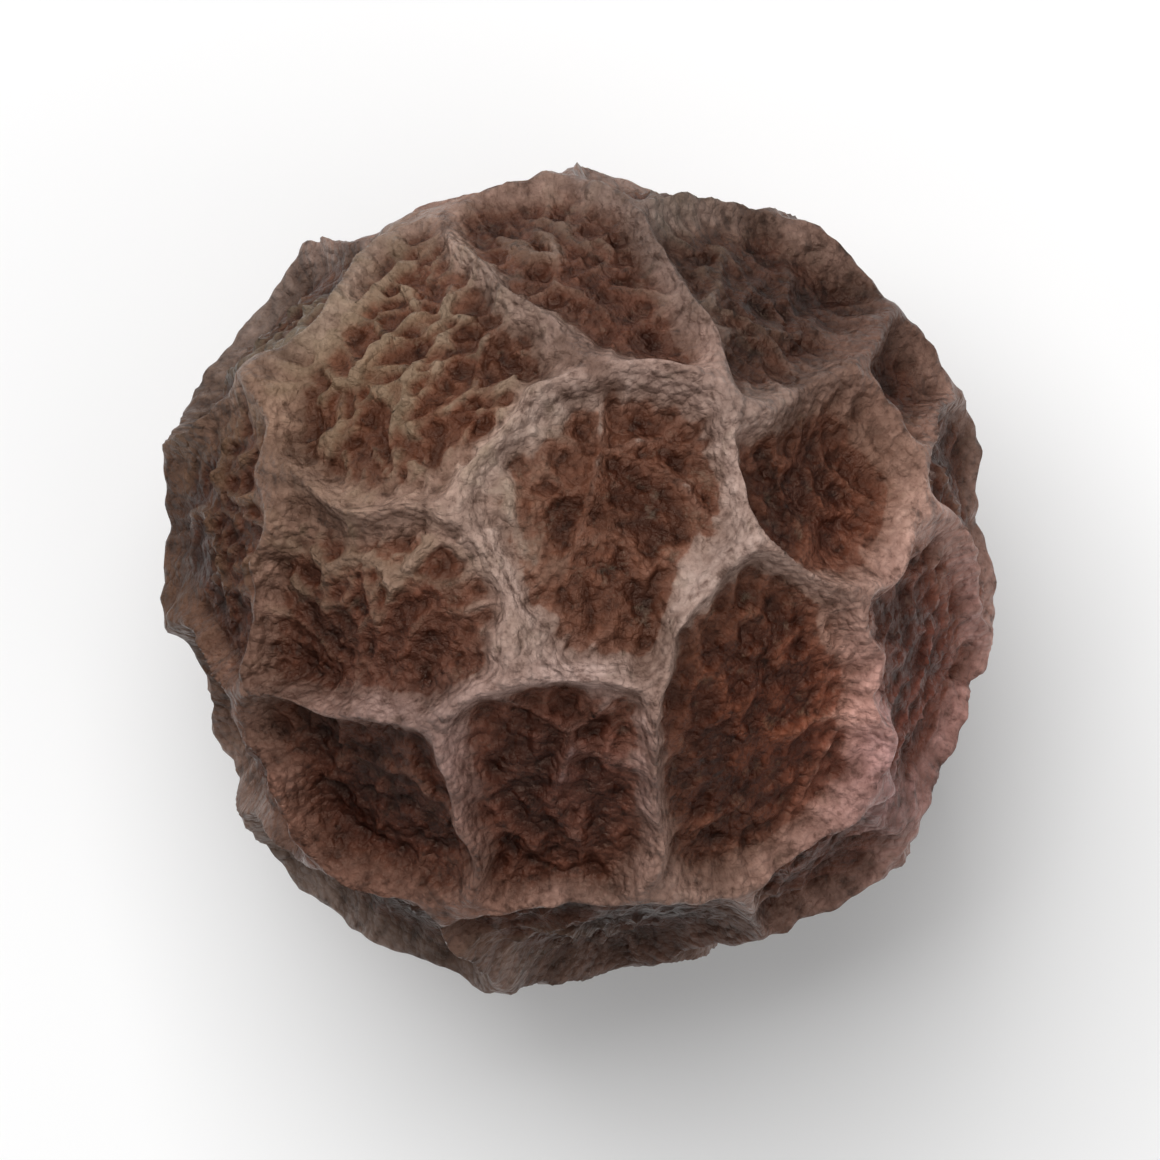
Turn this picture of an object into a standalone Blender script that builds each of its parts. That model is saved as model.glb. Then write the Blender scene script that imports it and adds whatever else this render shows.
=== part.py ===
"""A black peppercorn, the dried fruit of the pepper vine, as one solid.

The skin of the fruit shrank as it dried. It lies on the seed in shallow hollows, and between
them it stands up in ridges that join into a net. The surface is worked out as a distance from
the centre for each direction: a slightly lumpy ball, with the hollows let into it, the scar of
the stalk on one side, the dried stigma opposite, and a small flat spot that it rests on.
"""

import math

import bmesh
import bpy
import numpy as np
from mathutils import Vector

# Driving sizes, in metres
CREST_RADIUS = 0.00251  # from the centre to the crest of a ridge
HOLLOW_DEPTH = 0.00022  # from the crests down to the floor of a hollow
RIDGE_HALF_WIDTH = 0.00014
PEAK_HEIGHT = 0.00005  # how far the crests rise where three of them meet
CREST_SAG = 0.00006  # how far a crest sinks where it is low
LUMP_HEIGHT = 0.00004
FLAT_SPOT_DROP = 0.00240  # from the centre down to the flat spot
FLAT_SPOT_ROUNDING = 0.00003
SCAR_RADIUS = 0.00036  # the round scar of the stalk
SCAR_DEPTH = 0.00010
SCAR_FLOOR_SHARE = 0.4  # of its radius that its level floor takes up
SCAR_RIM_SHARE = 0.4  # how high its rim stands, as a share of its depth
SCAR_RIM_WIDTH = 0.00012
STIGMA_RADIUS = 0.00022  # the dried nub at the other end
STIGMA_HEIGHT = 0.00012

# The net. The hollows that show from above: the place of the middle of each in shares of the
# radius, to the right (+X) and away (+Y); its reach, which pushes its ridges outwards where it is
# larger than its neighbour's; and its depth, as a share of the usual. The others are spaced out
# evenly round the rest.
SEEN_HOLLOWS = (
    (0.04, 0.12, 1.011, 0.90),
    (0.67, 0.29, 0.981, 1.00),
    (0.52, -0.35, 1.028, 1.20),
    (-0.05, -0.42, 0.985, 1.15),
    (-0.51, -0.11, 1.010, 1.00),
    (-0.51, -0.35, 0.993, 1.10),
    (-0.36, 0.54, 1.016, 0.65),
    (-0.85, 0.07, 0.993, 0.70),
    (0.86, -0.27, 1.042, 1.00),
    (0.51, 0.71, 1.008, 0.80),
    (-0.06, 0.74, 0.994, 0.70),
    (0.76, 0.48, 0.988, 1.10),
    (0.13, -0.92, 1.000, 1.00),
    (0.68, -0.61, 0.992, 1.00),
)
HOLLOW_COUNT = 41
TRIES_FOR_EACH_HOLLOW = 160
HIDDEN_BELOW = 0.25  # the evenly spaced ones lie below this level, in shares of the radius
NET_SEED = 7
NET_BEND = 0.030  # how far the ridges wander from straight, in shares of the radius
NET_BEND_LENGTH = 0.0016
DEPTH_SPREAD = 0.22  # how unlike the other hollows are in depth, as a share of it
FLOOR_UNEVENNESS = 0.12  # and how uneven each one's floor is
WIDTH_SPREAD = 0.22  # how unlike the ridges are in width
CORNER_ROUNDING = 0.00006  # where two ridges run into each other
MEETING_REACH = 0.035  # how far from the meeting point of ridges the crests begin to rise

# Directions from the centre
DOWN = (0.0, 0.0, -1.0)
STIGMA_HEADING = (-0.700, 0.430, 0.570)
SCAR_HEADING = (0.700, -0.430, -0.570)  # opposite
SCAR_CALM = (0.00034, 0.00070)  # the net fades out between these distances from the scar
SCAR_STILL = (0.00065, 0.00110)  # and stops wandering between these
FLAT_SPOT_CALM = (0.00050, 0.00110)  # and between these from the middle of the flat spot
PRESSED_SIDES = (  # where the ball is flatter: the heading, and by how much
    ((-0.925, -0.380, 0.000), 0.00018),
    ((0.150, -0.980, 0.100), 0.00022),
)
PRESSED_REACH = 0.0011

WAVES = 24  # plane waves summed in one random field
WAVE_SPREAD = (0.75, 1.35)  # the shortest and the longest of them, as shares of its length
LUMP_LENGTH = 0.0042
DEPTH_LENGTH = 0.0026
SAG_LENGTH = 0.0019
SAG_RANGE = (-0.3, 1.5)  # a crest sinks as its field goes from the first value to the second
WIDTH_LENGTH = 0.0021

# How finely the surface is divided
CREST_STEP = 0.00016  # between two points along a ridge
RINGS = (0.11, 0.26, 0.52)  # rings of points on the way from the rim of a hollow to its middle
SCAR_RINGS = (1.75, 1.40, 1.15, 0.98, 0.78, 0.55, 0.30)  # round the scar, in shares of its radius
SAME_HEADING = 0.999  # two directions with a cosine above this are the same one
UNBEND_STEPS = 12

SKIN_COLOUR = (0.085, 0.046, 0.032, 1.0)
SKIN_ROUGHNESS = 0.6


def unit(vectors):
    """The same directions at length 1."""
    return vectors / np.linalg.norm(vectors, axis=-1, keepdims=True)


def ease(value, start, end):
    """0 before start and 1 after end, with a smooth S between them."""
    share = np.clip((value - start) / (end - start), 0.0, 1.0)
    return share * share * (3.0 - 2.0 * share)


def wander(points, seed, length):
    """A smooth random field of about unit strength, the sum of plane waves of about this length."""
    draw = np.random.default_rng(seed)
    headings = unit(draw.normal(size=(WAVES, 3)))
    lengths = length * draw.uniform(*WAVE_SPREAD, WAVES)
    phases = draw.uniform(0.0, 2.0 * math.pi, WAVES)
    waves = np.sin(points @ (headings.T * (2.0 * math.pi / lengths)) + phases)
    return waves.sum(axis=1) * math.sqrt(2.0 / WAVES)


def arc_from(directions, heading):
    """The distance over the ball from where a heading leaves it."""
    return CREST_RADIUS * np.arccos(np.clip(directions @ unit(np.array(heading)), -1.0, 1.0))


def hollow_middles():
    """The middles of all the hollows, as directions at the length of their reach. Each one past
    those that show from above, the flat spot and the scar is the furthest of several random ones
    from all placed so far."""
    across, away, reach, _ = np.array(SEEN_HOLLOWS).T
    up = np.sqrt(1.0 - across**2 - away**2)
    seen = np.column_stack([across, away, up]) * reach[:, None]
    middles = [*seen, np.array(DOWN), unit(np.array(SCAR_HEADING))]
    draw = np.random.default_rng(NET_SEED)
    while len(middles) < HOLLOW_COUNT:
        tries = unit(draw.normal(size=(TRIES_FOR_EACH_HOLLOW, 3)))
        tries = tries[tries[:, 2] < HIDDEN_BELOW]
        nearest = (tries @ np.array(middles).T).max(axis=1)
        middles.append(tries[nearest.argmin()])
    return np.array(middles)


def hollow_depths():
    """The depth of every hollow, as a share of the usual."""
    seen = np.array(SEEN_HOLLOWS)[:, 3]
    draw = np.random.default_rng(NET_SEED)
    others = draw.uniform(1.0 - DEPTH_SPREAD, 1.0 + DEPTH_SPREAD, HOLLOW_COUNT - len(seen))
    return np.concatenate([seen, others])


def sway(directions):
    """How far each direction is pushed aside, to make the ridges wander. Round the scar they are
    left straight."""
    places = directions * CREST_RADIUS
    along = [wander(places, NET_SEED + axis, NET_BEND_LENGTH) for axis in (1, 2, 3)]
    bend = NET_BEND * ease(arc_from(directions, SCAR_HEADING), *SCAR_STILL)
    return bend[:, None] * np.column_stack(along)


def net(directions):
    """For each direction: the distance to the nearest ridge line, how close it is to a point
    where three ridges meet, from 0 to 1, and the number of the hollow that it lies in.
    A ridge line is where the middles of two hollows are equally near, and ridges meet where those
    of three are."""
    middles = hollow_middles()
    nearness = unit(directions + sway(directions)) @ middles.T
    own = nearness.argmax(axis=1)
    lead = nearness.max(axis=1, keepdims=True) - nearness
    apart = np.linalg.norm(middles[:, None] - middles[None], axis=2)
    np.fill_diagonal(apart, 1.0)
    away = CREST_RADIUS * lead / apart[own]
    away[np.arange(len(own)), own] = CREST_RADIUS
    smooth_least = -CORNER_ROUNDING * np.log(np.exp(-away / CORNER_ROUNDING).sum(axis=1))
    pull = np.exp(-lead / MEETING_REACH)
    hollows_near = pull.sum(axis=1) ** 2 / (pull**2).sum(axis=1)
    return np.maximum(smooth_least, 0.0), ease(hollows_near, 2.0, 3.0), own


def ends(directions):
    """Height that the two ends add: a round pit with a rim for the scar, and a nub opposite."""
    to_scar = arc_from(directions, SCAR_HEADING)
    to_stigma = arc_from(directions, STIGMA_HEADING)
    rim = SCAR_RIM_SHARE * np.exp(-(((to_scar - SCAR_RADIUS) / SCAR_RIM_WIDTH) ** 2))
    pit = 1.0 - ease(to_scar, SCAR_FLOOR_SHARE * SCAR_RADIUS, SCAR_RADIUS)
    return SCAR_DEPTH * (rim - pit) + STIGMA_HEIGHT * np.exp(-((to_stigma / STIGMA_RADIUS) ** 2))


def press_flat(points):
    """The points with the bottom pressed up to one level, and its edge rounded."""
    over = points[:, 2] + FLAT_SPOT_DROP
    blend = np.clip(FLAT_SPOT_ROUNDING - np.abs(over), 0.0, None) ** 2 / (4.0 * FLAT_SPOT_ROUNDING)
    points[:, 2] = np.maximum(points[:, 2], -FLAT_SPOT_DROP) + blend
    return points


def berry_points(directions):
    """The surface point in each direction: direction times radius, with the bottom pressed flat."""
    places = directions * CREST_RADIUS
    distance, meeting, own = net(directions)
    width = RIDGE_HALF_WIDTH * (1.0 + WIDTH_SPREAD * wander(places, NET_SEED + 6, WIDTH_LENGTH))
    ridge = (1.0 + (distance / width) ** 2) ** -1.5
    uneven = FLOOR_UNEVENNESS * wander(places, NET_SEED + 4, DEPTH_LENGTH)
    depth = HOLLOW_DEPTH * (hollow_depths()[own] + uneven)
    sag = CREST_SAG * ease(wander(places, NET_SEED + 7, SAG_LENGTH), *SAG_RANGE)
    calm = ease(arc_from(directions, SCAR_HEADING), *SCAR_CALM)
    calm *= ease(arc_from(directions, DOWN), *FLAT_SPOT_CALM)
    radius = CREST_RADIUS + LUMP_HEIGHT * wander(places, NET_SEED + 5, LUMP_LENGTH)
    for heading, depth_there in PRESSED_SIDES:
        radius -= depth_there * np.exp(-((arc_from(directions, heading) / PRESSED_REACH) ** 2))
    radius += calm * (PEAK_HEIGHT * meeting - sag * ridge - depth * (1.0 - ridge))
    radius += ends(directions)
    return press_flat(directions * radius[:, None])


def ball_along_net():
    """A ball of radius 1 divided along the straight ridge lines: each hollow is a ring of points
    on its rim, smaller rings inside it, and a point in its middle."""
    hull = bmesh.new()
    for middle in hollow_middles():
        hull.verts.new(middle)
    bmesh.ops.convex_hull(hull, input=hull.verts[:])
    hull.normal_update()
    ball = bmesh.new()
    corners = {face: ball.verts.new(face.normal) for face in hull.faces}
    sides = {}
    for edge in hull.edges:
        start, end = (corners[face] for face in edge.link_faces)
        steps = max(1, round(CREST_RADIUS * start.co.angle(end.co) / CREST_STEP))
        shares = [step / steps for step in range(1, steps)]
        between = [ball.verts.new(start.co.slerp(end.co, share)) for share in shares]
        sides[edge] = [start, *between, end]
    for middle in hull.verts:
        rim = rim_round(middle, sides)
        if middle.co.dot(SCAR_HEADING) > SAME_HEADING:
            rings = scar_rings(rim, middle.co.normalized())
            dish(ball, rim, rings, middle.co.normalized())
        else:
            centre = sum((point.co for point in rim), Vector()).normalized()
            rings = [[point.co.lerp(centre, share).normalized() for point in rim] for share in RINGS]
            dish(ball, rim, rings, centre)
    hull.free()
    return ball


def rim_round(middle, sides):
    """The points on the rim of one hollow, counterclockwise as seen from outside."""
    across = middle.co.orthogonal()
    up = middle.co.cross(across)

    def bearing(edge):
        other = edge.other_vert(middle).co
        return math.atan2(other.dot(up), other.dot(across))

    rim = []
    for edge in sorted(middle.link_edges, key=bearing):
        side = sides[edge]
        turn = side[0].co.cross(side[-1].co).dot(middle.co)
        rim += side[:-1] if turn > 0.0 else side[:0:-1]
    return rim


def scar_rings(rim, middle):
    """Round rings of directions about the middle of the scar, each with one towards every point
    of the rim."""
    outward = [(point.co - middle * point.co.dot(middle)).normalized() for point in rim]
    angles = [share * SCAR_RADIUS / CREST_RADIUS for share in SCAR_RINGS]
    return [[middle * math.cos(a) + side * math.sin(a) for side in outward] for a in angles]


def dish(ball, rim, rings, middle):
    """The faces of one hollow, from its rim over the rings of directions to its middle."""
    count = len(rim)
    outer = rim
    for ring in rings:
        inner = [ball.verts.new(direction) for direction in ring]
        for k in range(count):
            after = (k + 1) % count
            ball.faces.new([outer[k], outer[after], inner[after], inner[k]])
        outer = inner
    centre = ball.verts.new(middle)
    for k in range(count):
        ball.faces.new([outer[k], outer[(k + 1) % count], centre])


def unbend(directions):
    """The directions that the sway pushes onto the given ones, found step by step."""
    found = directions
    for _ in range(UNBEND_STEPS):
        found = unit(directions - sway(found))
    return found


def skin():
    """The dry brown skin."""
    material = bpy.data.materials.new("dried_skin")
    material.use_nodes = True
    shader = material.node_tree.nodes["Principled BSDF"]
    shader.inputs["Base Color"].default_value = SKIN_COLOUR
    shader.inputs["Roughness"].default_value = SKIN_ROUGHNESS
    shader.inputs["Metallic"].default_value = 0.0
    return material


def peppercorn():
    """The whole fruit, standing on its flat spot with the middle of its box over the origin."""
    ball = ball_along_net()
    mesh = bpy.data.meshes.new("peppercorn")
    ball.to_mesh(mesh)
    ball.free()
    flat_list = np.empty(len(mesh.vertices) * 3, np.float32)
    mesh.vertices.foreach_get("co", flat_list)
    points = berry_points(unbend(unit(flat_list.reshape(-1, 3).astype(float))))
    low, high = points.min(axis=0), points.max(axis=0)
    points -= [(low[0] + high[0]) / 2.0, (low[1] + high[1]) / 2.0, low[2]]
    mesh.vertices.foreach_set("co", points.astype(np.float32).ravel())
    mesh.materials.append(skin())
    mesh.shade_smooth()
    mesh.update()
    return bpy.data.objects.new("peppercorn", mesh)


def main():
    for thing in list(bpy.data.objects):
        bpy.data.objects.remove(thing)
    collection = bpy.data.collections.new("black_peppercorn")
    bpy.context.scene.collection.children.link(collection)
    collection.objects.link(peppercorn())


main()
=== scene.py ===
"""A black peppercorn lying on a pale sheet, looked at from straight above.

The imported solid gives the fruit's form. Its finished skin is one closed surface worked out here:
the same ball with the same net of ridges, on a far finer grid. The ridges are thinner and their
crests sharper, and what the solid leaves out is added: a second and a third net of wrinkles in
the hollows, creases down the flanks of the ridges, knots along their crests, puckers and grain.
The colour is read from the same numbers as the form.
"""

import math

import bpy
import numpy as np
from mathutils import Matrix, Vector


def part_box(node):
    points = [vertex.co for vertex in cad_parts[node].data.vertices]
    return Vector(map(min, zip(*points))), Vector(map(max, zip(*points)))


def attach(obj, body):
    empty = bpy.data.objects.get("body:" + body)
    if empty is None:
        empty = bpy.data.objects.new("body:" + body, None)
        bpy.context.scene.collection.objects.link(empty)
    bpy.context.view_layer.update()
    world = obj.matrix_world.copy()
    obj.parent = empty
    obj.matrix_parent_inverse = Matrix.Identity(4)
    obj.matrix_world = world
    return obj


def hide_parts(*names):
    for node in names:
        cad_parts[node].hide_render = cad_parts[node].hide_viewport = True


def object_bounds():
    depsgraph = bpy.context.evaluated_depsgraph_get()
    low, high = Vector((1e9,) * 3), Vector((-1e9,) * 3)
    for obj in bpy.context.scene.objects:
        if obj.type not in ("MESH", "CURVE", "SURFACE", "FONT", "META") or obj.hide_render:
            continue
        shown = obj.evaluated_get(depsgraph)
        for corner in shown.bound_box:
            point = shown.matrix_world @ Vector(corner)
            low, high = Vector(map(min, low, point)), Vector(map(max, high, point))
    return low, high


# Sizes of the fruit, in metres, as in the solid
CREST_RADIUS = 0.00251
HOLLOW_DEPTH = 0.00022
RIDGE_HALF_WIDTH = 0.00014
PEAK_HEIGHT = 0.00005
CREST_SAG = 0.00006
LUMP_HEIGHT = 0.00004
FLAT_SPOT_DROP = 0.00240
FLAT_SPOT_ROUNDING = 0.00003
SCAR_RADIUS = 0.00036
SCAR_DEPTH = 0.00010
SCAR_FLOOR_SHARE = 0.4
SCAR_RIM_SHARE = 0.4
SCAR_RIM_WIDTH = 0.00012
STIGMA_RADIUS = 0.00022
STIGMA_HEIGHT = 0.00012

# The net, as in the solid. The hollows that show from above: the place of the middle of each in
# shares of the radius, to the right (+X) and away (+Y), its reach and its depth
SEEN_HOLLOWS = (
    (0.04, 0.12, 1.011, 0.90),
    (0.67, 0.29, 0.981, 1.00),
    (0.52, -0.35, 1.028, 1.20),
    (-0.05, -0.42, 0.985, 1.15),
    (-0.51, -0.11, 1.010, 1.00),
    (-0.51, -0.35, 0.993, 1.10),
    (-0.36, 0.54, 1.016, 0.65),
    (-0.85, 0.07, 0.993, 0.70),
    (0.86, -0.27, 1.042, 1.00),
    (0.51, 0.71, 1.008, 0.80),
    (-0.06, 0.74, 0.994, 0.70),
    (0.76, 0.48, 0.988, 1.10),
    (0.13, -0.92, 1.000, 1.00),
    (0.68, -0.61, 0.992, 1.00),
)
HOLLOW_COUNT = 41
TRIES_FOR_EACH_HOLLOW = 160
HIDDEN_BELOW = 0.25  # the height, in shares of the radius, under which the rest are placed
NET_SEED = 7
NET_BEND = 0.030  # how far the ridges bend, in shares of the radius
NET_BEND_LENGTH = 0.0016
DEPTH_SPREAD = 0.22  # from hollow to hollow, where they don't show
FLOOR_UNEVENNESS = 0.12  # within a hollow
WIDTH_SPREAD = 0.22
CORNER_ROUNDING = 0.00006
MEETING_REACH = 0.035
DOWN = (0.0, 0.0, -1.0)
STIGMA_HEADING = (-0.700, 0.430, 0.570)
SCAR_HEADING = (0.700, -0.430, -0.570)
SCAR_CALM = (0.00034, 0.00070)  # the distances from the scar over which the net rises
SCAR_STILL = (0.00065, 0.00110)  # and those over which its ridges begin to bend
FLAT_SPOT_CALM = (0.00050, 0.00110)  # the distances from straight below over which it rises
PRESSED_SIDES = (  # the heading of each, and how much is taken off the radius there
    ((-0.925, -0.380, 0.000), 0.00018),
    ((0.150, -0.980, 0.100), 0.00022),
)
PRESSED_REACH = 0.0011
WAVES = 24  # in every random field
WAVE_SPREAD = (0.75, 1.35)  # how long the shortest and the longest are, against the field's length
FLOOR_SEED = 11
FLOOR_LENGTH = 0.0026
LUMP_SEED = 12
LUMP_LENGTH = 0.0042
WIDTH_SEED = 13
WIDTH_LENGTH = 0.0021
SAG_SEED = 14
SAG_LENGTH = 0.0019
SAG_RANGE = (-0.3, 1.5)

# The grid of the finished skin
GRID = 127  # squares along each side of the cube that is blown up into the ball
DRAW_IN = 0.36  # how far the squares are drawn in to the crests
DRAW_IN_REACH = 0.00011  # within about this distance of them

# The fine relief of the finished skin, in metres. A range is where a random field, or a distance,
# begins to count and where it counts in full
THINNING = 0.00011  # what is taken off the flanks of the ridges
THIN_HALF_WIDTH = 0.00007
KEEL_SEED = 46  # the sharp line along a crest
KEEL_HEIGHT = 0.000055
KEEL_HALF_WIDTH = 0.000060
KEEL_LENGTH = 0.0012  # it rises and sinks over this length
KEEL_RANGE = (-1.2, 1.0)
KEEL_LEAST = 0.4  # the least share of its height
KNOT_SEED = 44  # where the crests are thicker
KNOT_HEIGHT = 0.000016
KNOT_LENGTH = 0.00060
WAVER_SEED = 70  # how the crests waver
WAVER_BEND = 0.010
WAVER_LENGTH = 0.00055
WRINKLE_SEED = 50  # the second net
WRINKLE_COUNT = 210
WRINKLE_HEIGHT = 0.000060
WRINKLE_HALF_WIDTH = 0.000048
WRINKLE_PATCH_SEED = 41
WRINKLE_PATCH_LENGTH = 0.0012
WRINKLE_PATCH_RANGE = (-0.7, 1.2)
CRUMPLE_SEED = 60  # the third net, which lies in the crowded places
CRUMPLE_COUNT = 760
CRUMPLE_HEIGHT = 0.000046
CRUMPLE_HALF_WIDTH = 0.000040
CRUMPLE_FADE = 0.8  # the power of the fading towards the crests
MESH_JITTER = 0.30  # how far the middles of the meshes are pushed, as a share of their spacing
MESH_BEND = 0.035
MESH_BEND_LENGTH = 0.0009
BATCHES = 24  # the points are worked through in so many lots, to save memory
CREASE_SEED = 42  # the lines down the flanks of the ridges
CREASE_HEIGHT = 0.000034
CREASE_LENGTH = 0.00031
CREASE_SHARPNESS = 1.2
CREASE_START = 0.00007  # from this distance from a ridge line
CREASE_END = 0.00050  # and to this one, more or less
CREASE_END_SEED = 43
CREASE_END_SPREAD = 0.3
FOOT_BLEND = 0.00010  # how widely the feet on neighbouring ridge lines run into each other
PUCKER_SEED = 47  # fine raised lines
PUCKER_HEIGHT = 0.000026
PUCKER_LENGTH = 0.00040
PUCKER_SHARPNESS = 1.2
PUCKER_ON_CREST = 0.25  # what is left of them on the crests
SMALL_PUCKER_SEED = 48  # finer ones among them
SMALL_PUCKER_SHARE = 0.5
SMALL_PUCKER_LENGTH = 0.00020
GRAIN_SEED = 45
GRAIN_HEIGHT = 0.000008
GRAIN_LENGTH = 0.00017
LEAST_CALM = 0.25  # what is left of the fine relief where the net is faded out
RELIEF_UNIT = 0.00004  # the height of fine relief that counts as 1 for the colour

# Where the skin is crowded with small wrinkles: on one side, round the stigma, and in patches
CROWDED_HEADING = (-0.62, 0.40, 0.68)
CROWDED_RANGE = (0.0009, 0.0024)  # the distances over which that side fades out
CROWDED_PATCH_SEED = 40
CROWDED_PATCH_LENGTH = 0.0026
CROWDED_PATCH_RANGE = (0.1, 1.3)
CROWDED_PATCH_SHARE = 0.6  # how crowded a patch is, against the side
CROWDED_PULL = 0.8  # how much more the wrinkles stand where it is crowded

# How pale the crests are, from 0 to 1: worn pale, and less pale in one patch of painted shade
PALE_EVERYWHERE = 0.30  # outside the patches
PALE_LOSS_AT_CORNERS = 0.10
PALE_LEFT_AT_ENDS = 0.3  # the share that is left round the scar and the flat spot
PALE_AND_PAINTED_SHADE_PATCHES = (  # the heading of each, how far it reaches, and how much paler its crests are
    ((0.35, 0.05, 0.94), 0.0013, 0.60),
    ((-0.50, -0.26, 0.83), 0.0008, 0.50),
    ((-0.30, 0.55, 0.78), 0.0009, 0.40),
    ((0.86, -0.34, 0.38), 0.0009, 0.40),
    ((0.25, 0.86, 0.45), 0.0008, -0.30),
    ((-0.20, -0.30, -0.93), 0.0016, 0.30),
    ((-0.60, 0.70, -0.38), 0.0012, 0.45),
    # painted shade: the crests at the lower left less pale
    ((-0.48, -0.72, 0.50), 0.0008, -0.60),
)

# Flushes of colour in the skin, some of them painted shade or painted light, as marked: the
# heading of the middle of each, how far it reaches, and the colour that multiplies the skin's own
# there
FLUSHES_AND_PAINTED_SHADING = (
    ((-0.50, 0.52, 0.69), 0.0010, (1.20, 1.32, 1.24)),  # straw
    ((-0.97, 0.05, 0.25), 0.0017, (0.32, 0.26, 0.20)),  # dark olive, with painted shade along the left rim
    ((0.05, 0.10, 0.99), 0.0010, (1.56, 1.72, 1.80)),  # light brown, partly painted light on the top, which faces the lamps
    ((0.48, -0.38, 0.78), 0.0007, (1.58, 1.28, 1.02)),  # red-brown
    ((-0.50, -0.58, 0.64), 0.0010, (0.86, 0.56, 0.48)),  # dark red, partly painted shade at the lower left
    ((0.90, -0.24, 0.36), 0.0010, (1.94, 1.56, 1.70)),  # dusky pink
    ((0.76, -0.44, 0.48), 0.0008, (0.94, 1.00, 1.17)),  # faded rose
    ((-0.42, -0.32, 0.85), 0.0006, (1.08, 1.15, 1.24)),  # dusty brown
    ((0.00, -0.46, 0.89), 0.0005, (0.90, 1.00, 1.26)),  # blue-black
    ((0.62, 0.64, 0.46), 0.0010, (0.46, 0.34, 0.30)),  # dark brown
    ((0.68, 0.26, 0.68), 0.0006, (1.38, 1.42, 1.36)),  # brown
    ((0.00, 0.80, 0.60), 0.0009, (0.86, 1.02, 1.14)),  # grey-brown
    ((0.20, -0.97, 0.10), 0.0012, (0.36, 0.24, 0.20)),  # painted shade along the lower rim, nearly black
)
WARMTH_SEED = 49
WARMTH = (0.12, -0.02, -0.08)  # the most that a hollow is redder or greyer
WARMTH_BLEND = 0.02  # how widely the hollows' shades run into each other

# The skin's noises: clouds to the millimetre, detail, roughness and kind
TO_MM = (1000.0, 1000.0, 1000.0)
STREAKS = (6.5, 4.0, 0.55, "FBM")
CRINKLE = (3.6, 6.0, 0.50, "RIDGED_MULTIFRACTAL")
GRAIN = (20.0, 4.0, 0.50, "FBM")
CLOUDS = (6.0, 8.0, 0.62, "FBM")
MOTTLE = (2.2, 8.0, 0.60, "FBM")
FLECKS = (11.0, 6.0, 0.62, "FBM")
SCURF = (4.5, 9.0, 0.80, "FBM")
CELLS_TO_THE_MM = 17.0

# The skin's colour goes by a level, 0 deep in a hollow and 1 on a crest. It is the sum of these
# fields, each times its weight, and of the offset
LEVEL_FROM = {"ridge": 1.0, "clouds": 0.50, "relief": 0.22, "crowded": 0.15, "streaks": 0.16}
LEVEL_OFFSET = -0.42
RIDGE_LOSS_WHERE_CROWDED = -0.18
WORN_SKIN = (
    (0.00, (0.040, 0.0105, 0.0050)),
    (0.24, (0.084, 0.0295, 0.0165)),
    (0.45, (0.108, 0.0450, 0.0290)),
    (0.53, (0.178, 0.1110, 0.0870)),
    (0.90, (0.270, 0.1850, 0.1560)),
)
WHOLE_SKIN = (
    (0.00, (0.040, 0.0105, 0.0050)),
    (0.24, (0.080, 0.0285, 0.0165)),
    (0.58, (0.112, 0.0560, 0.0380)),
    (0.90, (0.180, 0.1100, 0.0840)),
)
# Shades that multiply it, each by the number of that name. The relief's is painted shade and light
TONES_AND_PAINTED_SHADING = {
    "mottle": ((0.32, (0.68, 0.64, 0.61)), (0.68, (1.30, 1.30, 1.30))),
    "flecks": (
        (0.34, (0.42, 0.37, 0.35)),
        (0.45, (0.93, 0.91, 0.90)),
        (0.55, (1.04, 1.04, 1.04)),
        (0.68, (1.30, 1.30, 1.30)),
    ),
    "cells": ((0.25, (1.06, 1.06, 1.06)), (0.70, (0.84, 0.81, 0.80))),
    # painted shade in the low places of the fine relief, painted light on its raised places
    "relief": ((0.00, (0.74, 0.70, 0.68)), (0.90, (1.18, 1.18, 1.18))),
}
# What lies over it: a colour, the range of its field, and its greatest share
SCURF_COLOUR = (0.185, 0.138, 0.096, 1.0)
SCURF_RANGE = (0.56, 0.68)
SCURF_SHARE = 0.30
TIP_COLOUR = (0.225, 0.155, 0.105, 1.0)
TIP_RANGE = (0.9, 1.9)
TIP_CROWDED_RANGE = (0.3, 0.9)
TIP_SHARE = 0.50
GLOSS_RANGE = (0.35, 0.65)  # of the clouds
ROUGHNESS = (0.27, 0.52)  # at the start and at the end of that range
SPECULAR_LEVEL = 0.31
SPECULAR_TINT = (1.0, 0.78, 0.64, 1.0)
# The height of the bumps is the sum of these noises, each times its weight
BUMPS_FROM = {"grain": 0.6, "crinkle": 1.4, "cells": -0.7, "streaks": 0.8, "flecks": 0.8}
BUMP_DISTANCE = 0.000045

# The camera, the lights and the sheet: lens and sensor in millimetres, the rest in metres and
# watts
LENS = 200.0
SENSOR = 36.0
FRAME_SHARE = 0.70  # of the picture's width that the fruit fills
NEAR_CLIP_SHARE = 0.05  # of the camera's distance
FAR_CLIP = 10.0
SHEET_SIDE = 0.60
KEY_LIGHT = ((-0.014, 0.030, 0.060), 0.052, 0.043)  # place, side and power
FILL_LIGHT = ((0.050, -0.030, 0.040), 0.060, 0.008)
SURROUND_COLOUR = (1.0, 1.0, 1.0, 1.0)
SURROUND_STRENGTH = 0.38
SHEET_COLOUR = (0.92, 0.92, 0.92, 1.0)
SHEET_ROUGHNESS = 0.9


def unit(vectors):
    """The same directions at length 1."""
    return vectors / np.linalg.norm(vectors, axis=-1, keepdims=True)


def ease(value, start, end):
    """0 before start and 1 after end, with a smooth S between them."""
    share = np.clip((value - start) / (end - start), 0.0, 1.0)
    return share * share * (3.0 - 2.0 * share)


def bell(distance, half_width):
    """The rounded profile of a ridge: 1 at its line, falling away to 0 on both sides."""
    return (1.0 + (distance / half_width) ** 2) ** -1.5


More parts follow.
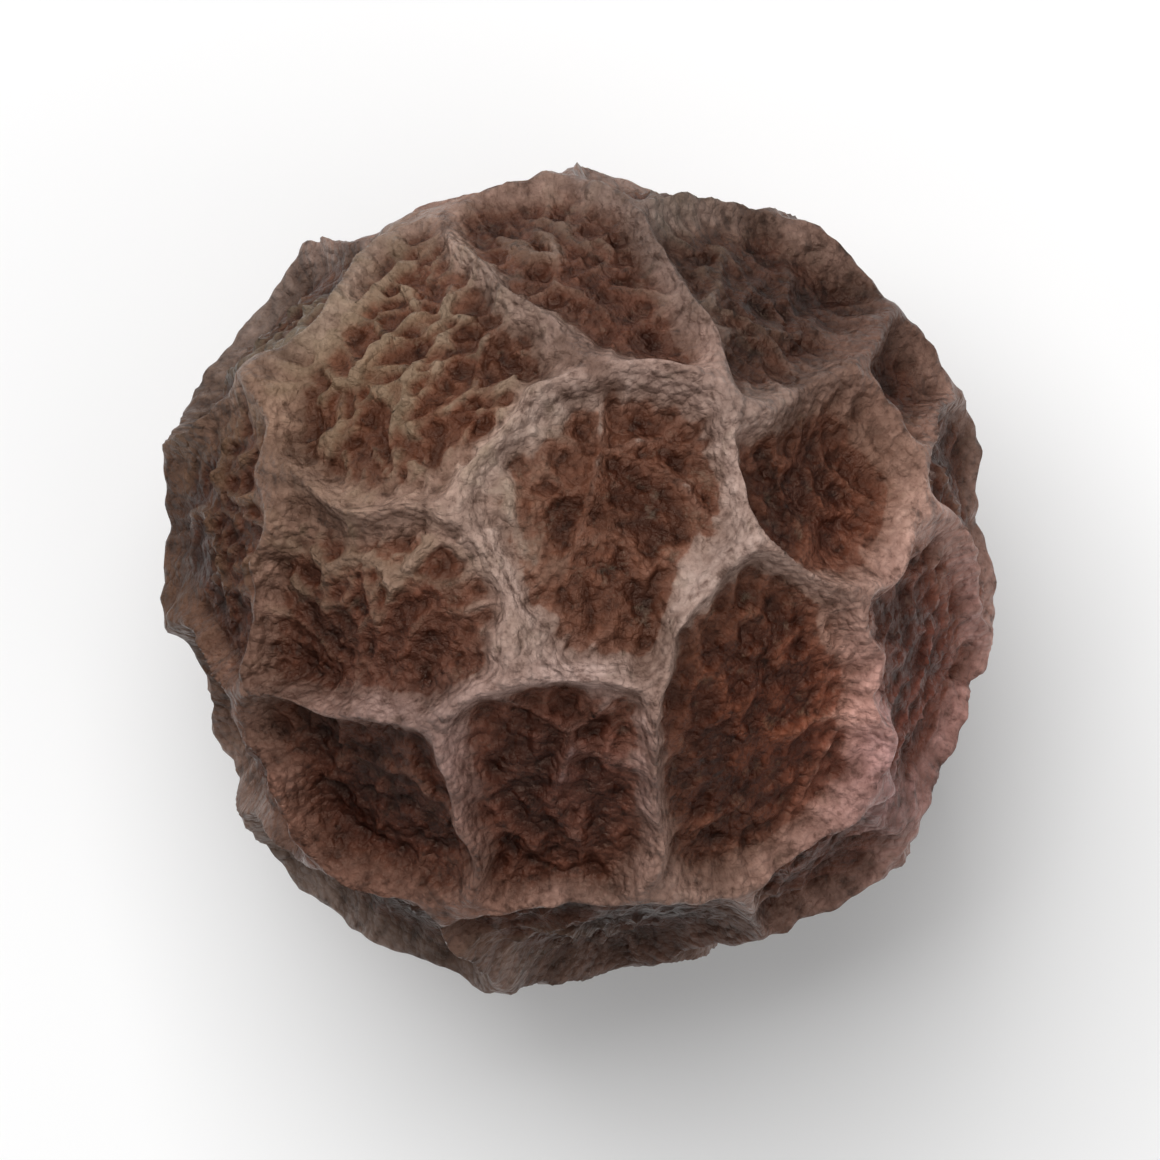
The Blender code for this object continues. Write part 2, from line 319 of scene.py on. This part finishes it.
def wander(points, seed, length):
    """A smooth random field of about unit strength: the sum of plane waves of about this
    length, each with its own heading and phase."""
    draw = np.random.default_rng(seed)
    headings = unit(draw.normal(size=(WAVES, 3)))
    lengths = length * draw.uniform(*WAVE_SPREAD, WAVES)
    phases = draw.uniform(0.0, 2.0 * math.pi, WAVES)
    waves = np.sin(points @ (headings.T * (2.0 * math.pi / lengths)) + phases)
    return waves.sum(axis=1) * math.sqrt(2.0 / WAVES)


def arc_from(directions, heading):
    """The distance over the ball from where a heading leaves it."""
    return CREST_RADIUS * np.arccos(np.clip(directions @ unit(np.array(heading)), -1.0, 1.0))


def hollow_middles():
    """The middles of all the hollows, as directions at the length of their reach. Each one past
    those that show from above, the flat spot and the scar is the furthest of several random ones
    from all placed so far."""
    across, away, reach, _ = np.array(SEEN_HOLLOWS).T
    up = np.sqrt(1.0 - across**2 - away**2)
    seen = np.column_stack([across, away, up]) * reach[:, None]
    middles = [*seen, np.array(DOWN), unit(np.array(SCAR_HEADING))]
    draw = np.random.default_rng(NET_SEED)
    while len(middles) < HOLLOW_COUNT:
        tries = unit(draw.normal(size=(TRIES_FOR_EACH_HOLLOW, 3)))
        tries = tries[tries[:, 2] < HIDDEN_BELOW]
        nearest = (tries @ np.array(middles).T).max(axis=1)
        middles.append(tries[nearest.argmin()])
    return np.array(middles)


def hollow_depths():
    """The depth of every hollow, as a share of the usual."""
    seen = np.array(SEEN_HOLLOWS)[:, 3]
    draw = np.random.default_rng(NET_SEED)
    others = draw.uniform(1.0 - DEPTH_SPREAD, 1.0 + DEPTH_SPREAD, HOLLOW_COUNT - len(seen))
    return np.concatenate([seen, others])


def sway(directions, seed, bend, length):
    """A push aside at each direction, from three random fields, one for each axis. Lines drawn
    with the pushed directions wander."""
    places = directions * CREST_RADIUS
    along = [wander(places, seed + axis, length) for axis in (1, 2, 3)]
    return bend * np.column_stack(along)


def bent(directions):
    """The directions that the net is drawn with: pushed aside, except round the scar, by the push
    that bends the ridges of the solid and a far smaller and shorter one that makes them waver."""
    free = ease(arc_from(directions, SCAR_HEADING), *SCAR_STILL)[:, None]
    bend = sway(directions, NET_SEED, NET_BEND, NET_BEND_LENGTH)
    waver = sway(directions, WAVER_SEED, WAVER_BEND, WAVER_LENGTH)
    return unit(directions + free * (bend + waver))


def net(directions):
    """The net of ridges at each direction: the distance to the nearest ridge line, how close a
    point where three ridges meet is, from 0 to 1, the number of the hollow, and the foot, which is
    the place on the ridge lines nearest to it.
    A ridge line is where the middles of two hollows are equally near, so it lies in the plane
    square to the line between them. The foot is the direction with its part square to that plane
    taken away, blended over the ridges of the hollow by how near each is."""
    middles = hollow_middles()
    swayed = bent(directions)
    nearness = swayed @ middles.T
    own = nearness.argmax(axis=1)
    lead = nearness.max(axis=1, keepdims=True) - nearness
    apart = np.linalg.norm(middles[:, None] - middles[None], axis=2)
    np.fill_diagonal(apart, 1.0)
    away = CREST_RADIUS * lead / apart[own]
    away[np.arange(len(own)), own] = CREST_RADIUS
    smooth_least = -CORNER_ROUNDING * np.log(np.exp(-away / CORNER_ROUNDING).sum(axis=1))
    pull = np.exp(-lead / MEETING_REACH)
    hollows_near = pull.sum(axis=1) ** 2 / (pull**2).sum(axis=1)
    weight = np.exp(-away / FOOT_BLEND)
    weight /= weight.sum(axis=1, keepdims=True)
    foot = np.zeros_like(swayed)
    for other, middle in enumerate(middles):
        # In its own place a hollow has next to no weight, and the 1 keeps its length from being 0
        square = unit(middles[own] - middle + (own == other)[:, None])
        flat = swayed - (swayed * square).sum(axis=1, keepdims=True) * square
        foot += weight[:, other, None] * unit(flat)
    return np.maximum(smooth_least, 0.0), ease(hollows_near, 2.0, 3.0), own, foot


def finer_net(directions, count, seed, half_width):
    """The lines of a finer net, from 0 between them to 1 on them, with the same rounded profile
    as the ridges. The middles of its meshes lie on a golden spiral, each pushed aside at random,
    and a line is where two of them are equally near."""
    draw = np.random.default_rng(seed)
    steps = np.arange(count)
    level = 1.0 - (2.0 * steps + 1.0) / count
    turn = steps * math.pi * (3.0 - math.sqrt(5.0))
    out = np.sqrt(1.0 - level**2)
    spiral = np.column_stack([out * np.cos(turn), out * np.sin(turn), level])
    spacing = math.sqrt(4.0 * math.pi / count)
    middles = unit(spiral + MESH_JITTER * spacing * draw.normal(size=(count, 3)))
    swayed = unit(directions + sway(directions, seed, MESH_BEND, MESH_BEND_LENGTH))
    distance = []
    for batch in np.array_split(swayed, BATCHES):
        rows = np.arange(len(batch))
        nearness = batch @ middles.T
        own = nearness.argmax(axis=1)
        most = nearness[rows, own]
        nearness[rows, own] = -1.0
        other = nearness.argmax(axis=1)
        apart = np.linalg.norm(middles[own] - middles[other], axis=1)
        distance.append(CREST_RADIUS * (most - nearness[rows, other]) / apart)
    return bell(np.concatenate(distance), half_width)


def ends(directions):
    """Height that the two ends add: a round pit with a rim for the scar, and a nub opposite."""
    to_scar = arc_from(directions, SCAR_HEADING)
    to_stigma = arc_from(directions, STIGMA_HEADING)
    rim = SCAR_RIM_SHARE * np.exp(-(((to_scar - SCAR_RADIUS) / SCAR_RIM_WIDTH) ** 2))
    pit = 1.0 - ease(to_scar, SCAR_FLOOR_SHARE * SCAR_RADIUS, SCAR_RADIUS)
    return SCAR_DEPTH * (rim - pit) + STIGMA_HEIGHT * np.exp(-((to_stigma / STIGMA_RADIUS) ** 2))


def press_flat(points):
    """The points with the bottom pressed up to one level, and its edge rounded."""
    over = points[:, 2] + FLAT_SPOT_DROP
    blend = np.clip(FLAT_SPOT_ROUNDING - np.abs(over), 0.0, None) ** 2 / (4.0 * FLAT_SPOT_ROUNDING)
    points[:, 2] = np.maximum(points[:, 2], -FLAT_SPOT_DROP) + blend
    return points


def coarse_form(directions, distance, meeting, own):
    """The form of the solid: the radius in each direction, the ridge profile from 0 in a hollow
    to 1 on a crest, and the calm, from 0 where the net is faded out to 1."""
    places = directions * CREST_RADIUS
    width = RIDGE_HALF_WIDTH * (1.0 + WIDTH_SPREAD * wander(places, WIDTH_SEED, WIDTH_LENGTH))
    ridge = bell(distance, width)
    uneven = FLOOR_UNEVENNESS * wander(places, FLOOR_SEED, FLOOR_LENGTH)
    depth = HOLLOW_DEPTH * (hollow_depths()[own] + uneven)
    sag = CREST_SAG * ease(wander(places, SAG_SEED, SAG_LENGTH), *SAG_RANGE)
    calm = ease(arc_from(directions, SCAR_HEADING), *SCAR_CALM)
    calm *= ease(arc_from(directions, DOWN), *FLAT_SPOT_CALM)
    radius = CREST_RADIUS + LUMP_HEIGHT * wander(places, LUMP_SEED, LUMP_LENGTH)
    for heading, depth_there in PRESSED_SIDES:
        radius -= depth_there * np.exp(-((arc_from(directions, heading) / PRESSED_REACH) ** 2))
    radius += calm * (PEAK_HEIGHT * meeting - sag * ridge - depth * (1.0 - ridge))
    return radius + ends(directions), ridge, calm


def raised_lines(points, seed, length, sharpness):
    """Thin meandering lines, from 0 to 1: one less the size of a random field, cut off below, so
    that a line stands wherever the field crosses zero."""
    return np.clip(1.0 - sharpness * np.abs(wander(points, seed, length)), 0.0, 1.0)


def crowding(directions):
    """How crowded with small wrinkles the skin is, from 0 to 1: the greater of the crowded side,
    which fades with the distance from its middle, and of patches, where a random field is high."""
    patches = wander(directions * CREST_RADIUS, CROWDED_PATCH_SEED, CROWDED_PATCH_LENGTH)
    side = 1.0 - ease(arc_from(directions, CROWDED_HEADING), *CROWDED_RANGE)
    return np.maximum(side, CROWDED_PATCH_SHARE * ease(patches, *CROWDED_PATCH_RANGE))


def hollow_relief(directions, ridge, crowded):
    """The wrinkles and crumples that stand in the hollows, as heights. They are the lines of two
    finer nets; the wrinkles come in patches, and the crumples only where the skin is crowded."""
    in_hollow = 1.0 - ridge
    wrinkle = finer_net(directions, WRINKLE_COUNT, WRINKLE_SEED, WRINKLE_HALF_WIDTH)
    patches = wander(directions * CREST_RADIUS, WRINKLE_PATCH_SEED, WRINKLE_PATCH_LENGTH)
    wrinkle *= in_hollow * ease(patches + CROWDED_PULL * crowded, *WRINKLE_PATCH_RANGE)
    crumple = finer_net(directions, CRUMPLE_COUNT, CRUMPLE_SEED, CRUMPLE_HALF_WIDTH)
    crumple *= in_hollow**CRUMPLE_FADE * crowded
    return WRINKLE_HEIGHT * wrinkle + CRUMPLE_HEIGHT * crumple


def ridge_relief(distance, ridge, foot):
    """What the ridges carry, as heights. Creases are raised lines whose field is read at the
    foot, so they run down the flanks at right angles to the ridges; each fades in close to the
    ridge line and out at a distance that varies. A keel, a narrow profile that rises and sinks,
    sharpens the crests, and knots thicken them here and there."""
    along = foot * CREST_RADIUS
    crease = raised_lines(along, CREASE_SEED, CREASE_LENGTH, CREASE_SHARPNESS)
    varied = CREASE_END_SPREAD * wander(along, CREASE_END_SEED, 2.0 * CREASE_LENGTH)
    reach = CREASE_END * (1.0 - CREASE_END_SPREAD + varied)
    crease *= ease(distance, 0.0, CREASE_START) * (1.0 - ease(distance, CREASE_START, reach))
    keel = ease(wander(along, KEEL_SEED, KEEL_LENGTH), *KEEL_RANGE)
    keel = bell(distance, KEEL_HALF_WIDTH) * (KEEL_LEAST + (1.0 - KEEL_LEAST) * keel)
    knot = wander(along, KNOT_SEED, KNOT_LENGTH) * ridge
    return CREASE_HEIGHT * crease + KEEL_HEIGHT * keel + KNOT_HEIGHT * knot


def grain_relief(directions, ridge):
    """What lies everywhere, as heights: puckers, which are raised lines of two lengths, lower on
    the crests, and a fine random grain."""
    places = directions * CREST_RADIUS
    pucker = raised_lines(places, PUCKER_SEED, PUCKER_LENGTH, PUCKER_SHARPNESS)
    small = raised_lines(places, SMALL_PUCKER_SEED, SMALL_PUCKER_LENGTH, PUCKER_SHARPNESS)
    pucker += SMALL_PUCKER_SHARE * small
    pucker *= 1.0 - (1.0 - PUCKER_ON_CREST) * ridge
    return PUCKER_HEIGHT * pucker + GRAIN_HEIGHT * wander(places, GRAIN_SEED, GRAIN_LENGTH)


def thinning(distance, ridge, calm):
    """The height taken off the ridges' flanks, which leaves thinner folds of skin: in step with
    how far the ridge profile stands above a narrower one of the same kind."""
    return THINNING * calm * np.clip(ridge - bell(distance, THIN_HALF_WIDTH), 0.0, None)


def ball_grid():
    """Directions spread over a ball, and the four-sided faces between them. Each side of a cube
    carries a grid of two angles from -45 to 45 degrees, whose tangents place its lines, and the
    points that two sides share are made one."""
    u, v = np.meshgrid(np.arange(GRID + 1), np.arange(GRID + 1), indexing="ij")
    lattice, quads = [], []
    for axis in range(3):
        for level in (0, GRID):
            side = np.empty((GRID + 1, GRID + 1, 3), int)
            side[..., axis] = level
            side[..., (axis + 1) % 3] = u if level else v
            side[..., (axis + 2) % 3] = v if level else u
            number = np.arange((GRID + 1) ** 2).reshape(GRID + 1, GRID + 1)
            number += len(lattice) * (GRID + 1) ** 2
            corners = [number[:-1, :-1], number[1:, :-1], number[1:, 1:], number[:-1, 1:]]
            quads.append(np.stack(corners, axis=-1).reshape(-1, 4))
            lattice.append(side.reshape(-1, 3))
    places, index = np.unique(np.concatenate(lattice), axis=0, return_inverse=True)
    angles = (places / GRID * 2.0 - 1.0) * (math.pi / 4.0)
    return unit(np.tan(angles)), index.ravel()[np.concatenate(quads)]


def drawn_in(directions):
    """The directions moved closer to the ridge lines, so that the faces are finest on the crests:
    each goes a part of the way to its foot, and the part falls away from the line on a bell
    curve, and to nothing where three ridges meet."""
    distance, meeting, _, foot = net(directions)
    part = DRAW_IN * (1.0 - meeting) * np.exp(-((distance / DRAW_IN_REACH) ** 2))
    return unit(directions + part[:, None] * (foot - bent(directions)))


def skin_tint(directions):
    """The colour that multiplies the skin's own at each direction: the product of the flushes,
    some of which are painted shade or painted light, each fading outwards from its heading, and of
    a shade for each hollow, from greyer to redder, that runs into the next one's at the ridges."""
    tint = np.ones((len(directions), 3))
    for heading, reach, colour in FLUSHES_AND_PAINTED_SHADING:
        share = np.exp(-((arc_from(directions, heading) / reach) ** 2))
        tint *= 1.0 + share[:, None] * (np.array(colour) - 1.0)
    nearness = bent(directions) @ hollow_middles().T
    warmth = np.random.default_rng(WARMTH_SEED).uniform(-1.0, 1.0, HOLLOW_COUNT)
    weight = np.exp((nearness - nearness.max(axis=1, keepdims=True)) / WARMTH_BLEND)
    warmth = (weight @ warmth) / weight.sum(axis=1)
    return tint * (1.0 + warmth[:, None] * np.array(WARMTH))


def paleness(directions):
    """How pale the crests are at each direction, from 0 to 1: the same everywhere, with the
    patches added, each fading outwards from its heading. Most are worn paler; one at the lower
    left is held back as painted shade."""
    pale = np.full(len(directions), PALE_EVERYWHERE)
    for heading, reach, more in PALE_AND_PAINTED_SHADE_PATCHES:
        pale += more * np.exp(-((arc_from(directions, heading) / reach) ** 2))
    return np.clip(pale, 0.0, 1.0)


def solid_offset(solid_points):
    """How far the solid lies from where its formula puts it: it has the middle of its box over
    the origin and its flat spot at the ground."""
    low, high = (np.array(corner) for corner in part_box("peppercorn"))
    offset = (low + high - solid_points.min(axis=0) - solid_points.max(axis=0)) / 2.0
    offset[2] = low[2] + FLAT_SPOT_DROP
    return offset


def give(mesh, name, values):
    """One number, or three, for each point of the mesh, for its finish to read."""
    kind, field = ("FLOAT", "value") if values.ndim == 1 else ("FLOAT_VECTOR", "vector")
    given = mesh.attributes.new(name, kind, "POINT")
    given.data.foreach_set(field, values.astype(np.float32).ravel())


def peppercorn():
    """The finished fruit: in each direction the form of the solid and its fine relief, pressed
    flat below, and set where the solid is. Its finish reads the numbers given to its points."""
    directions, quads = ball_grid()
    directions = drawn_in(directions)
    distance, meeting, own, foot = net(directions)
    radius, ridge, calm = coarse_form(directions, distance, meeting, own)
    crowded = crowding(directions)
    height = hollow_relief(directions, ridge, crowded)
    height += ridge_relief(distance, ridge, foot)
    height += grain_relief(directions, ridge)
    height *= LEAST_CALM + (1.0 - LEAST_CALM) * calm
    finished = radius + height - thinning(distance, ridge, calm)
    points = press_flat(directions * finished[:, None])
    points += solid_offset(press_flat(directions * radius[:, None]))

    mesh = bpy.data.meshes.new("peppercorn_skin")
    mesh.from_pydata(points, [], quads)
    crest = ridge - PALE_LOSS_AT_CORNERS * meeting
    give(mesh, "ridge", crest * (PALE_LEFT_AT_ENDS + (1.0 - PALE_LEFT_AT_ENDS) * calm))
    give(mesh, "relief", height / RELIEF_UNIT)
    give(mesh, "crowded", crowded)
    give(mesh, "pale", paleness(directions))
    give(mesh, "foot", foot * CREST_RADIUS * TO_MM[0])
    give(mesh, "tint", skin_tint(directions))
    mesh.shade_smooth()
    mesh.update()
    berry = bpy.data.objects.new("peppercorn_skin", mesh)
    bpy.context.collection.objects.link(berry)
    return berry


def put(tree, socket, value):
    """A value into a socket: a link if it is the output of a node, else the value itself."""
    if isinstance(value, bpy.types.NodeSocket):
        tree.links.new(value, socket)
    else:
        socket.default_value = value


def add(tree, kind, values, **settings):
    """A new node of this kind with these settings, and these values in its inputs."""
    made = tree.nodes.new(kind)
    for name, setting in settings.items():
        setattr(made, name, setting)
    for name, value in values.items():
        put(tree, made.inputs[name], value)
    return made


def reading(tree, name, output="Fac"):
    """What the mesh gives under this name."""
    return add(tree, "ShaderNodeAttribute", {}, attribute_name=name).outputs[output]


def noise(tree, vector, scale, detail, roughness, kind):
    """Cloudy noise from 0 to 1, with this many clouds to the millimetre."""
    values = {"Vector": vector, "Scale": scale, "Detail": detail, "Roughness": roughness}
    return add(tree, "ShaderNodeTexNoise", values, noise_type=kind).outputs["Fac"]


def cells(tree, vector, scale):
    """The distance to the nearest of a crowd of random points, this many to the millimetre."""
    values = {"Vector": vector, "Scale": scale, "Randomness": 1.0}
    return add(tree, "ShaderNodeTexVoronoi", values).outputs["Distance"]


def product(tree, a, b):
    """Two numbers multiplied."""
    return add(tree, "ShaderNodeMath", {0: a, 1: b}, operation="MULTIPLY").outputs["Value"]


def weighted_sum(tree, fields, weights, total=0.0):
    """These fields, each times the weight under its name, and the total so far, added up."""
    for name, weight in weights.items():
        values = {0: fields[name], 1: weight, 2: total}
        total = add(tree, "ShaderNodeMath", values, operation="MULTIPLY_ADD").outputs["Value"]
    return total


def mixed(tree, share, low, high, kind="MIX"):
    """Two colours, the second in this share, or multiplied."""
    values = {"Factor": share, "A": low, "B": high}
    return add(tree, "ShaderNodeMix", values, data_type="RGBA", blend_type=kind).outputs["Result"]


def ramp(tree, value, stops):
    """The colour that a number from 0 to 1 stands for, between these stops."""
    made = add(tree, "ShaderNodeValToRGB", {"Fac": value})
    line = made.color_ramp
    line.elements[0].position, line.elements[0].color = stops[0][0], (*stops[0][1], 1.0)
    line.elements[1].position, line.elements[1].color = stops[-1][0], (*stops[-1][1], 1.0)
    for position, colour in stops[1:-1]:
        line.elements.new(position).color = (*colour, 1.0)
    return made.outputs["Color"]


def greys(tree, value, between, low, high):
    """A number from low, where the value is at the start of the range, to high, at its end."""
    values = {"Value": value, "To Min": low, "To Max": high}
    values["From Min"], values["From Max"] = between
    return add(tree, "ShaderNodeMapRange", values).outputs["Result"]


def skin_fields(tree):
    """The numbers that the skin's colour, gloss and bumps are made from, each by its name: those
    that the mesh gives, and noises. The streaks are read at the foot, so they run straight down
    from the ridges."""
    place = add(tree, "ShaderNodeTexCoord", {}).outputs["Object"]
    in_mm = add(tree, "ShaderNodeMapping", {"Vector": place, "Scale": TO_MM})
    in_mm = in_mm.outputs["Vector"]
    fields = {name: reading(tree, name) for name in ("ridge", "relief", "crowded", "pale")}
    fields["tint"] = reading(tree, "tint", "Color")
    fields["streaks"] = noise(tree, reading(tree, "foot", "Vector"), *STREAKS)
    fields["crinkle"] = noise(tree, in_mm, *CRINKLE)
    fields["grain"] = noise(tree, in_mm, *GRAIN)
    fields["clouds"] = noise(tree, in_mm, *CLOUDS)
    fields["mottle"] = noise(tree, in_mm, *MOTTLE)
    fields["flecks"] = noise(tree, in_mm, *FLECKS)
    fields["scurf"] = noise(tree, in_mm, *SCURF)
    fields["cells"] = cells(tree, in_mm, CELLS_TO_THE_MM)
    return fields


def skin_colour(tree, fields):
    """Red-brown in the hollows, and beige on the crests where they are worn. The colour goes by
    a level, the weighted sum of the ridge profile, the fine relief and noise, along two ramps,
    one for worn skin and one for whole skin, mixed by the paleness. Mottle, flecks and cells shade
    it, and the fine relief adds painted shade in its low places and painted light on its raised
    ones; scurf and the tips of the crumples lie over it, and the tint, which holds painted shade
    and light as well as colour, multiplies all."""
    kept = weighted_sum(tree, fields, {"crowded": RIDGE_LOSS_WHERE_CROWDED}, 1.0)
    by_level = {**fields, "ridge": product(tree, fields["ridge"], kept)}
    level = weighted_sum(tree, by_level, LEVEL_FROM, LEVEL_OFFSET)
    whole = ramp(tree, level, WHOLE_SKIN)
    worn = ramp(tree, level, WORN_SKIN)
    colour = mixed(tree, fields["pale"], whole, worn)
    for name, stops in TONES_AND_PAINTED_SHADING.items():
        colour = mixed(tree, 1.0, colour, ramp(tree, fields[name], stops), "MULTIPLY")
    scurf = greys(tree, fields["scurf"], SCURF_RANGE, 0.0, SCURF_SHARE)
    colour = mixed(tree, scurf, colour, SCURF_COLOUR)
    tips = greys(tree, fields["relief"], TIP_RANGE, 0.0, TIP_SHARE)
    tips = product(tree, tips, greys(tree, fields["crowded"], TIP_CROWDED_RANGE, 0.0, 1.0))
    colour = mixed(tree, tips, colour, TIP_COLOUR)
    return mixed(tree, 1.0, colour, fields["tint"], "MULTIPLY")


def skin_finish():
    """Dry skin with a faint gloss. Its finest creases, cells and grain are bumps, whose height
    is a weighted sum of the noises."""
    material = bpy.data.materials.new("dried_skin")
    material.use_nodes = True
    tree = material.node_tree
    shader = tree.nodes["Principled BSDF"]
    fields = skin_fields(tree)
    put(tree, shader.inputs["Base Color"], skin_colour(tree, fields))
    roughness = greys(tree, fields["clouds"], GLOSS_RANGE, *ROUGHNESS)
    put(tree, shader.inputs["Roughness"], roughness)
    shader.inputs["Specular IOR Level"].default_value = SPECULAR_LEVEL
    shader.inputs["Specular Tint"].default_value = SPECULAR_TINT
    height = weighted_sum(tree, fields, BUMPS_FROM)
    values = {"Strength": 1.0, "Distance": BUMP_DISTANCE, "Height": height}
    put(tree, shader.inputs["Normal"], add(tree, "ShaderNodeBump", values).outputs["Normal"])
    return material


def sheet_finish():
    """Plain matt white."""
    material = bpy.data.materials.new("white_sheet")
    material.use_nodes = True
    shader = material.node_tree.nodes["Principled BSDF"]
    shader.inputs["Base Color"].default_value = SHEET_COLOUR
    shader.inputs["Roughness"].default_value = SHEET_ROUGHNESS
    return material


def sheet():
    """The white sheet that the fruit lies on."""
    half = SHEET_SIDE / 2.0
    corners = [(-half, -half, 0.0), (half, -half, 0.0), (half, half, 0.0), (-half, half, 0.0)]
    mesh = bpy.data.meshes.new("sheet")
    mesh.from_pydata(corners, [], [(0, 1, 2, 3)])
    mesh.materials.append(sheet_finish())
    made = bpy.data.objects.new("sheet", mesh)
    bpy.context.collection.objects.link(made)
    return made


def soft_light(name, target, place, side, watts):
    """A square soft light of this side at this place, turned to the target."""
    data = bpy.data.lights.new(name, "AREA")
    data.size = side
    data.energy = watts
    lamp = bpy.data.objects.new(name, data)
    lamp.location = place
    lamp.rotation_euler = (target - lamp.location).to_track_quat("-Z", "Y").to_euler()
    bpy.context.collection.objects.link(lamp)


def white_surround():
    """Even white light from all round."""
    surround = bpy.data.worlds.new("surround")
    surround.use_nodes = True
    background = surround.node_tree.nodes["Background"]
    background.inputs["Color"].default_value = SURROUND_COLOUR
    background.inputs["Strength"].default_value = SURROUND_STRENGTH
    bpy.context.scene.world = surround


def look_down(centre, width):
    """A camera straight above the fruit, with the photograph's upward direction along +Y."""
    data = bpy.data.cameras.new("camera")
    data.lens = LENS
    data.sensor_width = SENSOR
    camera = bpy.data.objects.new("camera", data)
    distance = width / FRAME_SHARE * LENS / SENSOR
    camera.location = (centre.x, centre.y, centre.z + distance)
    data.clip_start = distance * NEAR_CLIP_SHARE
    data.clip_end = FAR_CLIP
    bpy.context.collection.objects.link(camera)
    bpy.context.scene.camera = camera


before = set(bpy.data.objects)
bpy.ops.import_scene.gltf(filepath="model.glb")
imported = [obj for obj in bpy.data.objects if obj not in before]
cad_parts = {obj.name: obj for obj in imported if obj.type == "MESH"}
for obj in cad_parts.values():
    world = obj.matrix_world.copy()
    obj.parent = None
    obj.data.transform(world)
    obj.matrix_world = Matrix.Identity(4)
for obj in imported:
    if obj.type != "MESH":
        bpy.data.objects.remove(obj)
cad_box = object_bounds()

berry = peppercorn()
berry.data.materials.append(skin_finish())
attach(berry, "root")
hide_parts("peppercorn")
sheet()

low, high = cad_box
middle = (low + high) / 2.0
look_down(middle, high.x - low.x)
soft_light("key", middle, *KEY_LIGHT)
soft_light("fill", middle, *FILL_LIGHT)
white_surround()
bpy.context.scene.view_settings.view_transform = "Standard"
